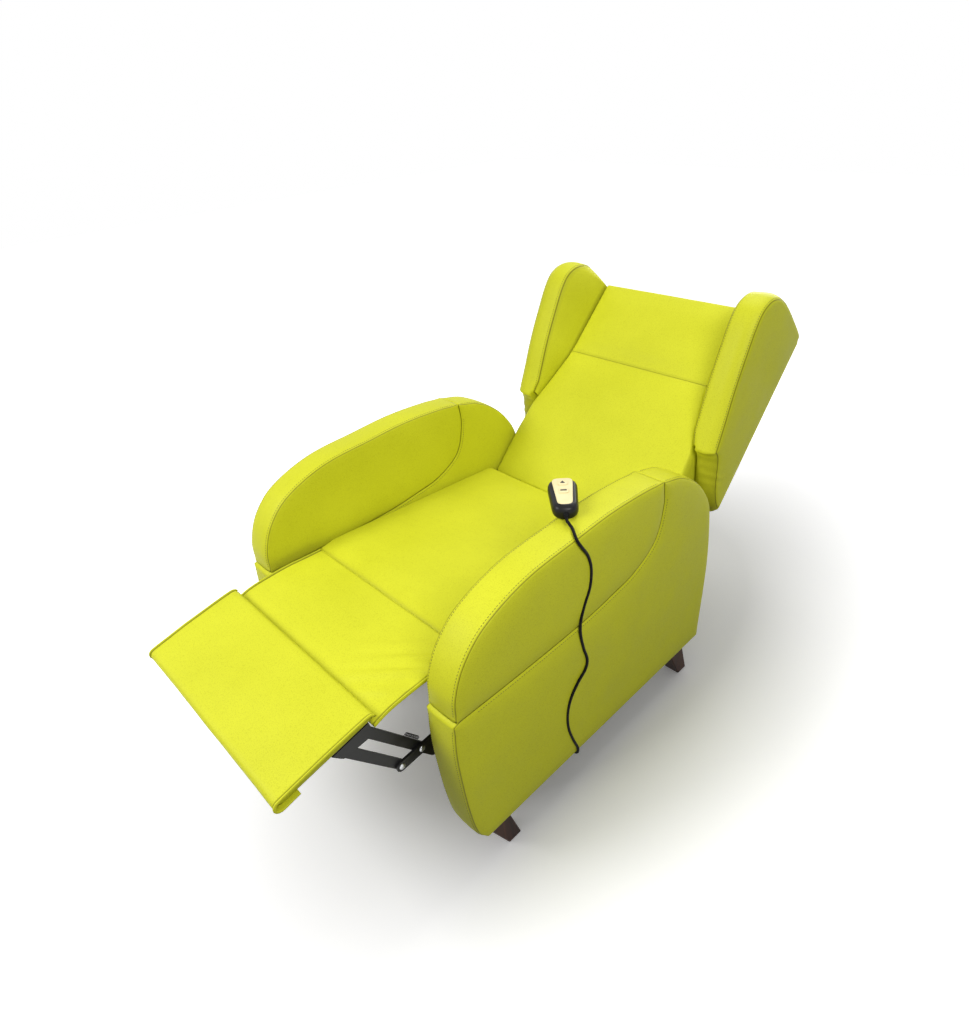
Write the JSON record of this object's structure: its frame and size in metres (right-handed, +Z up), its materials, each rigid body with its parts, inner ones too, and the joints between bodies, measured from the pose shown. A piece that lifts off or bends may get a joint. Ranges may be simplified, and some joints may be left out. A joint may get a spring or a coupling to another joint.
{
  "type": "vibroacoustic recliner",
  "caption": "Powered wing-back recliner with padded arms, a legrest on a folding linkage, sound transducers in seat and back, and a corded handset.",
  "frame": {"origin": "middle of the chair's box on the floor, without the cord", "axes": "+Z up, -Y to the front where the legrest comes out, +X to the sitter's left"},
  "size_m": [0.711, 1.5128, 0.9098],
  "materials": {
    "lime_leatherette": "fine grain, satin",
    "plywood": "raw",
    "dark_wood": "stained, satin",
    "bright_steel": "brushed",
    "black_steel": "black satin",
    "black_plastic": "matte",
    "cream_plastic": "satin"
  },
  "bodies": {
    "base": {"arm_lower_cover_left": "lime_leatherette", "arm_lower_cover_right": "lime_leatherette", "arm_pad_left": "lime_leatherette", "arm_pad_right": "lime_leatherette", "seat_cushion": "lime_leatherette", "arm_frame_left": "plywood", "arm_frame_right": "plywood", "base_rail_left": "plywood", "base_rail_right": "plywood", "seat_board": "plywood", "foot_front_left": "dark_wood", "foot_front_right": "dark_wood", "foot_rear_left": "dark_wood", "foot_rear_right": "dark_wood", "actuator_tube": "bright_steel", "rear_cross_tube": "black_steel", "mechanism_plate_left": "black_steel", "mechanism_plate_right": "black_steel", "back_hinge_post_left": "black_steel", "back_hinge_post_right": "black_steel", "seat_transducer_left": "black_steel", "seat_transducer_right": "black_steel", "power_unit": "black_plastic", "amplifier": "black_plastic", "mains_inlet": "black_plastic", "cord_gland": "black_plastic", "handset_shell": "black_plastic", "handset_strain_relief": "black_plastic", "handset_cord": "black_plastic", "actuator_motor": "black_plastic", "handset_faceplate": "cream_plastic"},
    "back": {"lumbar_cushion": "lime_leatherette", "head_cushion": "lime_leatherette", "wing_left": "lime_leatherette", "wing_right": "lime_leatherette", "rear_cover": "lime_leatherette", "back_board": "plywood", "back_lower_rail": "black_steel", "back_bracket_left": "black_steel", "back_bracket_right": "black_steel", "back_transducer_lower": "black_steel", "back_transducer_upper": "black_steel"},
    "footrest": {"footrest_pad": "lime_leatherette", "footrest_board": "plywood", "legrest_flap": "lime_leatherette", "footrest_bracket_left": "black_steel", "footrest_bracket_right": "black_steel"},
    "drive_shaft": {"drive_shaft": "black_steel", "swing_arm_left": "black_steel", "swing_arm_right": "black_steel"},
    "front_links": {"front_link_left": "black_steel", "front_link_right": "black_steel"},
    "rear_links": {"rear_link_left": "black_steel", "rear_link_right": "black_steel"},
    "control_links": {"control_link_left": "black_steel", "control_link_right": "black_steel"},
    "back_drive_link": {"back_drive_link": "black_steel"},
    "actuator_rod": {"actuator_rod": "bright_steel"},
    "button_up": {"handset_button_up": "cream_plastic"},
    "button_down": {"handset_button_down": "cream_plastic"}
  },
  "joints": [
    {"name": "back_recline", "type": "hinge", "parent": "base", "child": "back", "pos_m": [0, 0.2418, 0.40181], "axis": [1, 0, 0], "range_deg": [0, 30]},
    {"name": "legrest_fold", "type": "hinge", "parent": "base", "child": "footrest", "pos_m": [0, -0.36046, 0.449], "axis": [1, 0, 0], "range_deg": [0, 78]},
    {"name": "shaft_turn", "type": "hinge", "parent": "base", "child": "drive_shaft", "pos_m": [0, -0.26304, 0.31782], "axis": [1, 0, 0], "range_deg": [0, 78]},
    {"name": "front_link_pivot", "type": "hinge", "parent": "drive_shaft", "child": "front_links", "pos_m": [0, -0.52276, 0.2917], "axis": [1, 0, 0], "range_deg": [-78, 0]},
    {"name": "rear_link_pivot", "type": "hinge", "parent": "drive_shaft", "child": "rear_links", "pos_m": [0, -0.47446, 0.2965], "axis": [1, 0, 0], "range_deg": [-78, 0]},
    {"name": "control_link_pivot", "type": "hinge", "parent": "base", "child": "control_links", "pos_m": [0, -0.23381, 0.27847], "axis": [1, 0, 0], "range_deg": [0, 78]},
    {"name": "back_drive_pivot", "type": "hinge", "parent": "drive_shaft", "child": "back_drive_link", "pos_m": [0, -0.2906, 0.28195], "axis": [1, 0, 0], "range_deg": [-78, 0]},
    {"name": "actuator_stroke", "type": "slide", "parent": "base", "child": "actuator_rod", "axis": [0, 0.9945, -0.1045], "range_m": [0, 0.08811]},
    {"name": "button_up_press", "type": "slide", "parent": "base", "child": "button_up", "axis": [0, 0.0488, -0.9988], "range_m": [0, 0.0012], "stiffness_N_per_m": 800},
    {"name": "button_down_press", "type": "slide", "parent": "base", "child": "button_down", "axis": [0, 0.0488, -0.9988], "range_m": [0, 0.0012], "stiffness_N_per_m": 800}
  ],
  "couplings": [
    {"joint": "legrest_fold", "follows": "back_recline", "ratio": 2.6},
    {"joint": "shaft_turn", "follows": "back_recline", "ratio": 2.6},
    {"joint": "front_link_pivot", "follows": "back_recline", "ratio": -2.6},
    {"joint": "rear_link_pivot", "follows": "back_recline", "ratio": -2.6},
    {"joint": "control_link_pivot", "follows": "back_recline", "ratio": 2.6},
    {"joint": "back_drive_pivot", "follows": "back_recline", "ratio": -2.6},
    {"joint": "actuator_stroke", "follows": "back_recline", "m_per_rad": 0.16827}
  ]
}
